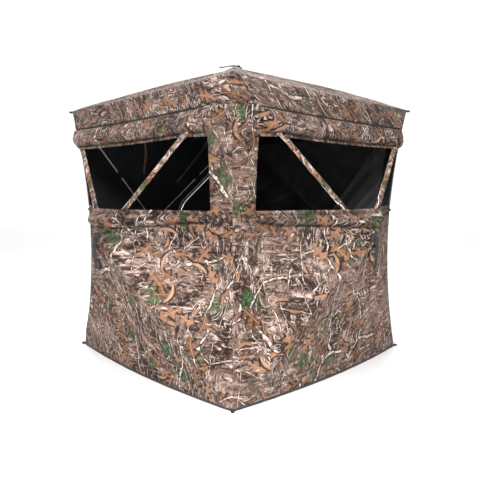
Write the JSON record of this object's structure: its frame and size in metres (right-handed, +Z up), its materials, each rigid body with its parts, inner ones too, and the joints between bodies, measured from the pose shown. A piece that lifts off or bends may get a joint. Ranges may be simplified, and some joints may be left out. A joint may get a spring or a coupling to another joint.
{
  "type": "pop up ground blind",
  "caption": "Square hub-style hide: sewn cloth walls and roof, each tensioned by a push-through hub and four flexible poles, with windows and a zipped door.",
  "frame": {"origin": "on the ground at the middle of the floor square", "axes": "+Z up; the front wall faces -Y and the right wall +X, both with open windows; the door is in the left wall (-X) beside the back corner"},
  "size_m": [2.1012, 2.1012, 1.8559],
  "materials": {
    "camo_cloth": "matte printed polyester, woodland leaf pattern outside, black coating inside",
    "fibreglass": "pultruded grey rod with black ferrule and tip",
    "hub_moulding": "black moulded nylon",
    "steel_pin": "plain pin",
    "webbing": "woven polyester webbing",
    "zipper_tape": "woven tape with coil teeth",
    "slider_metal": "black painted zinc",
    "hem_binding": "folded and stitched binding"
  },
  "bodies": {
    "shell": {"front_lower_panel": "camo_cloth", "right_lower_panel": "camo_cloth", "back_lower_panel": "camo_cloth", "left_lower_panel": "camo_cloth", "front_window_sill": "camo_cloth", "front_window_header": "camo_cloth", "right_window_sill": "camo_cloth", "right_window_header": "camo_cloth", "back_upper_panel": "camo_cloth", "left_upper_panel": "camo_cloth", "corner_post": "camo_cloth", "roof_panel": "camo_cloth", "roof_skirt": "camo_cloth", "ground_hem": "hem_binding", "corner_pockets": "webbing", "tie_loops": "webbing"},
    "front_hub_group": {"front_hub": "hub_moulding", "front_hub_pins": "steel_pin", "front_hub_cap": "hub_moulding"},
    "front_pole_upper_right": {"front_pole_upper_right": "fibreglass"},
    "front_pole_upper_left": {"front_pole_upper_left": "fibreglass"},
    "front_pole_lower_left": {"front_pole_lower_left": "fibreglass"},
    "front_pole_lower_right": {"front_pole_lower_right": "fibreglass"},
    "front_pull_strap": {"front_pull_strap": "webbing"},
    "right_hub_group": {"right_hub": "hub_moulding", "right_hub_pins": "steel_pin", "right_hub_cap": "hub_moulding"},
    "right_pole_upper_right": {"right_pole_upper_right": "fibreglass"},
    "right_pole_upper_left": {"right_pole_upper_left": "fibreglass"},
    "right_pole_lower_left": {"right_pole_lower_left": "fibreglass"},
    "right_pole_lower_right": {"right_pole_lower_right": "fibreglass"},
    "right_pull_strap": {"right_pull_strap": "webbing"},
    "back_hub_group": {"back_hub": "hub_moulding", "back_hub_pins": "steel_pin", "back_hub_cap": "hub_moulding"},
    "back_pole_upper_right": {"back_pole_upper_right": "fibreglass"},
    "back_pole_upper_left": {"back_pole_upper_left": "fibreglass"},
    "back_pole_lower_left": {"back_pole_lower_left": "fibreglass"},
    "back_pole_lower_right": {"back_pole_lower_right": "fibreglass"},
    "back_pull_strap": {"back_pull_strap": "webbing"},
    "left_hub_group": {"left_hub": "hub_moulding", "left_hub_pins": "steel_pin", "left_hub_cap": "hub_moulding"},
    "left_pole_upper_right": {"left_pole_upper_right": "fibreglass"},
    "left_pole_upper_left": {"left_pole_upper_left": "fibreglass"},
    "left_pole_lower_left": {"left_pole_lower_left": "fibreglass"},
    "left_pole_lower_right": {"left_pole_lower_right": "fibreglass"},
    "left_pull_strap": {"left_pull_strap": "webbing"},
    "roof_hub_group": {"roof_hub": "hub_moulding", "roof_hub_pins": "steel_pin", "roof_hub_cap": "hub_moulding"},
    "roof_pole_back_right": {"roof_pole_back_right": "fibreglass"},
    "roof_pole_back_left": {"roof_pole_back_left": "fibreglass"},
    "roof_pole_front_left": {"roof_pole_front_left": "fibreglass"},
    "roof_pole_front_right": {"roof_pole_front_right": "fibreglass"},
    "roof_pull_strap": {"roof_pull_strap": "webbing"},
    "door_frame": {"door_surround": "camo_cloth", "zipper_track": "zipper_tape"},
    "door": {"door_panel": "camo_cloth"},
    "slider": {"zipper_slider": "slider_metal"}
  },
  "joints": [
    {"name": "front_hub_push", "type": "slide", "parent": "shell", "child": "front_hub_group", "axis": [0, 1, 0], "range_m": [0, 0.54], "deforming": ["front_lower_panel", "front_window_sill", "front_window_header"]},
    {"name": "front_pole_upper_right_swing", "type": "hinge", "parent": "front_hub_group", "child": "front_pole_upper_right", "pos_m": [0.01989, -0.99176, 0.81971], "axis": [0.7039, 0, -0.7103], "range_deg": [0, 30.8]},
    {"name": "front_pole_upper_left_swing", "type": "hinge", "parent": "front_hub_group", "child": "front_pole_upper_left", "pos_m": [-0.01989, -0.99176, 0.81971], "axis": [0.7039, 0, 0.7103], "range_deg": [0, 30.8]},
    {"name": "front_pole_lower_left_swing", "type": "hinge", "parent": "front_hub_group", "child": "front_pole_lower_left", "pos_m": [-0.01915, -0.99176, 0.77957], "axis": [-0.7295, 0, 0.6839], "range_deg": [0, 30.77]},
    {"name": "front_pole_lower_right_swing", "type": "hinge", "parent": "front_hub_group", "child": "front_pole_lower_right", "pos_m": [0.01915, -0.99176, 0.77957], "axis": [-0.7295, 0, -0.6839], "range_deg": [0, 30.77]},
    {"name": "front_pull_strap_swing", "type": "hinge", "parent": "front_hub_group", "child": "front_pull_strap", "pos_m": [0, -1.04575, 0.8], "axis": [-1, 0, 0], "range_deg": [0, 24.02]},
    {"name": "right_hub_push", "type": "slide", "parent": "shell", "child": "right_hub_group", "axis": [-1, 0, 0], "range_m": [0, 0.54], "deforming": ["right_lower_panel", "right_window_sill", "right_window_header"]},
    {"name": "right_pole_upper_right_swing", "type": "hinge", "parent": "right_hub_group", "child": "right_pole_upper_right", "pos_m": [0.99176, 0.01989, 0.81971], "axis": [0, 0.7039, -0.7103], "range_deg": [0, 30.8]},
    {"name": "right_pole_upper_left_swing", "type": "hinge", "parent": "right_hub_group", "child": "right_pole_upper_left", "pos_m": [0.99176, -0.01989, 0.81971], "axis": [0, 0.7039, 0.7103], "range_deg": [0, 30.8]},
    {"name": "right_pole_lower_left_swing", "type": "hinge", "parent": "right_hub_group", "child": "right_pole_lower_left", "pos_m": [0.99176, -0.01915, 0.77957], "axis": [0, -0.7295, 0.6839], "range_deg": [0, 30.77]},
    {"name": "right_pole_lower_right_swing", "type": "hinge", "parent": "right_hub_group", "child": "right_pole_lower_right", "pos_m": [0.99176, 0.01915, 0.77957], "axis": [0, -0.7295, -0.6839], "range_deg": [0, 30.77]},
    {"name": "right_pull_strap_swing", "type": "hinge", "parent": "right_hub_group", "child": "right_pull_strap", "pos_m": [1.04575, 0, 0.8], "axis": [0, -1, 0], "range_deg": [0, 24.02]},
    {"name": "back_hub_push", "type": "slide", "parent": "shell", "child": "back_hub_group", "axis": [0, -1, 0], "range_m": [0, 0.54], "deforming": ["back_lower_panel", "back_upper_panel"]},
    {"name": "back_pole_upper_right_swing", "type": "hinge", "parent": "back_hub_group", "child": "back_pole_upper_right", "pos_m": [-0.01989, 0.99176, 0.81971], "axis": [-0.7039, 0, -0.7103], "range_deg": [0, 30.8]},
    {"name": "back_pole_upper_left_swing", "type": "hinge", "parent": "back_hub_group", "child": "back_pole_upper_left", "pos_m": [0.01989, 0.99176, 0.81971], "axis": [-0.7039, 0, 0.7103], "range_deg": [0, 30.8]},
    {"name": "back_pole_lower_left_swing", "type": "hinge", "parent": "back_hub_group", "child": "back_pole_lower_left", "pos_m": [0.01915, 0.99176, 0.77957], "axis": [0.7295, 0, 0.6839], "range_deg": [0, 30.77]},
    {"name": "back_pole_lower_right_swing", "type": "hinge", "parent": "back_hub_group", "child": "back_pole_lower_right", "pos_m": [-0.01915, 0.99176, 0.77957], "axis": [0.7295, 0, -0.6839], "range_deg": [0, 30.77]},
    {"name": "back_pull_strap_swing", "type": "hinge", "parent": "back_hub_group", "child": "back_pull_strap", "pos_m": [0, 1.04575, 0.8], "axis": [1, 0, 0], "range_deg": [0, 24.02]},
    {"name": "left_hub_push", "type": "slide", "parent": "shell", "child": "left_hub_group", "axis": [1, 0, 0], "range_m": [0, 0.54], "deforming": ["left_lower_panel", "left_upper_panel"]},
    {"name": "left_pole_upper_right_swing", "type": "hinge", "parent": "left_hub_group", "child": "left_pole_upper_right", "pos_m": [-0.99176, -0.01989, 0.81971], "axis": [0, -0.7039, -0.7103], "range_deg": [0, 30.8]},
    {"name": "left_pole_upper_left_swing", "type": "hinge", "parent": "left_hub_group", "child": "left_pole_upper_left", "pos_m": [-0.99176, 0.01989, 0.81971], "axis": [0, -0.7039, 0.7103], "range_deg": [0, 30.8]},
    {"name": "left_pole_lower_left_swing", "type": "hinge", "parent": "left_hub_group", "child": "left_pole_lower_left", "pos_m": [-0.99176, 0.01915, 0.77957], "axis": [0, 0.7295, 0.6839], "range_deg": [0, 30.77]},
    {"name": "left_pole_lower_right_swing", "type": "hinge", "parent": "left_hub_group", "child": "left_pole_lower_right", "pos_m": [-0.99176, -0.01915, 0.77957], "axis": [0, 0.7295, -0.6839], "range_deg": [0, 30.77]},
    {"name": "left_pull_strap_swing", "type": "hinge", "parent": "left_hub_group", "child": "left_pull_strap", "pos_m": [-1.04575, 0, 0.8], "axis": [0, 1, 0], "range_deg": [0, 24.02]},
    {"name": "roof_hub_push", "type": "slide", "parent": "shell", "child": "roof_hub_group", "axis": [0, 0, -1], "range_m": [0, 0.54], "deforming": ["roof_panel"]},
    {"name": "roof_pole_back_right_swing", "type": "hinge", "parent": "roof_hub_group", "child": "roof_pole_back_right", "pos_m": [0.0198, 0.0198, 1.797], "axis": [0.7071, -0.7071, 0], "range_deg": [0, 30.78]},
    {"name": "roof_pole_back_left_swing", "type": "hinge", "parent": "roof_hub_group", "child": "roof_pole_back_left", "pos_m": [-0.0198, 0.0198, 1.797], "axis": [0.7071, 0.7071, 0], "range_deg": [0, 30.78]},
    {"name": "roof_pole_front_left_swing", "type": "hinge", "parent": "roof_hub_group", "child": "roof_pole_front_left", "pos_m": [-0.0198, -0.0198, 1.797], "axis": [-0.7071, 0.7071, 0], "range_deg": [0, 30.78]},
    {"name": "roof_pole_front_right_swing", "type": "hinge", "parent": "roof_hub_group", "child": "roof_pole_front_right", "pos_m": [0.0198, -0.0198, 1.797], "axis": [-0.7071, -0.7071, 0], "range_deg": [0, 30.78]},
    {"name": "roof_pull_strap_swing", "type": "hinge", "parent": "roof_hub_group", "child": "roof_pull_strap", "pos_m": [0, 0, 1.851], "axis": [-1, 0, 0], "range_deg": [0, 38.02]},
    {"name": "door_frame_follow", "type": "hinge", "parent": "shell", "child": "door_frame", "pos_m": [-0.70576, 0.70576, 0.8], "axis": [0, 0, 1], "range_deg": [0, 38.02]},
    {"name": "door_open", "type": "hinge", "parent": "door_frame", "child": "door", "pos_m": [-0.73622, 0.64, 0.8], "axis": [0, 0, -1], "range_deg": [0, 100]},
    {"name": "zipper_slide", "type": "slide", "parent": "door_frame", "child": "slider", "axis": [0.2299, 0.6913, 0.685], "range_m": [0, 0.494]}
  ],
  "couplings": [
    {"joint": "front_pole_upper_right_swing", "follows": "front_hub_push", "rad_per_m": 0.99486},
    {"joint": "front_pole_upper_left_swing", "follows": "front_hub_push", "rad_per_m": 0.99486},
    {"joint": "front_pole_lower_left_swing", "follows": "front_hub_push", "rad_per_m": 0.99387},
    {"joint": "front_pole_lower_right_swing", "follows": "front_hub_push", "rad_per_m": 0.99387},
    {"joint": "front_pull_strap_swing", "follows": "front_hub_push", "rad_per_m": 0.7757},
    {"joint": "right_pole_upper_right_swing", "follows": "right_hub_push", "rad_per_m": 0.99486},
    {"joint": "right_pole_upper_left_swing", "follows": "right_hub_push", "rad_per_m": 0.99486},
    {"joint": "right_pole_lower_left_swing", "follows": "right_hub_push", "rad_per_m": 0.99387},
    {"joint": "right_pole_lower_right_swing", "follows": "right_hub_push", "rad_per_m": 0.99387},
    {"joint": "right_pull_strap_swing", "follows": "right_hub_push", "rad_per_m": 0.7757},
    {"joint": "back_pole_upper_right_swing", "follows": "back_hub_push", "rad_per_m": 0.99486},
    {"joint": "back_pole_upper_left_swing", "follows": "back_hub_push", "rad_per_m": 0.99486},
    {"joint": "back_pole_lower_left_swing", "follows": "back_hub_push", "rad_per_m": 0.99387},
    {"joint": "back_pole_lower_right_swing", "follows": "back_hub_push", "rad_per_m": 0.99387},
    {"joint": "back_pull_strap_swing", "follows": "back_hub_push", "rad_per_m": 0.7757},
    {"joint": "left_pole_upper_right_swing", "follows": "left_hub_push", "rad_per_m": 0.99486},
    {"joint": "left_pole_upper_left_swing", "follows": "left_hub_push", "rad_per_m": 0.99486},
    {"joint": "left_pole_lower_left_swing", "follows": "left_hub_push", "rad_per_m": 0.99387},
    {"joint": "left_pole_lower_right_swing", "follows": "left_hub_push", "rad_per_m": 0.99387},
    {"joint": "left_pull_strap_swing", "follows": "left_hub_push", "rad_per_m": 0.7757},
    {"joint": "roof_pole_back_right_swing", "follows": "roof_hub_push", "rad_per_m": 0.99433},
    {"joint": "roof_pole_back_left_swing", "follows": "roof_hub_push", "rad_per_m": 0.99433},
    {"joint": "roof_pole_front_left_swing", "follows": "roof_hub_push", "rad_per_m": 0.99433},
    {"joint": "roof_pole_front_right_swing", "follows": "roof_hub_push", "rad_per_m": 0.99433},
    {"joint": "roof_pull_strap_swing", "follows": "roof_hub_push", "rad_per_m": 1.2282},
    {"joint": "door_frame_follow", "follows": "left_hub_push", "rad_per_m": 1.2282}
  ]
}
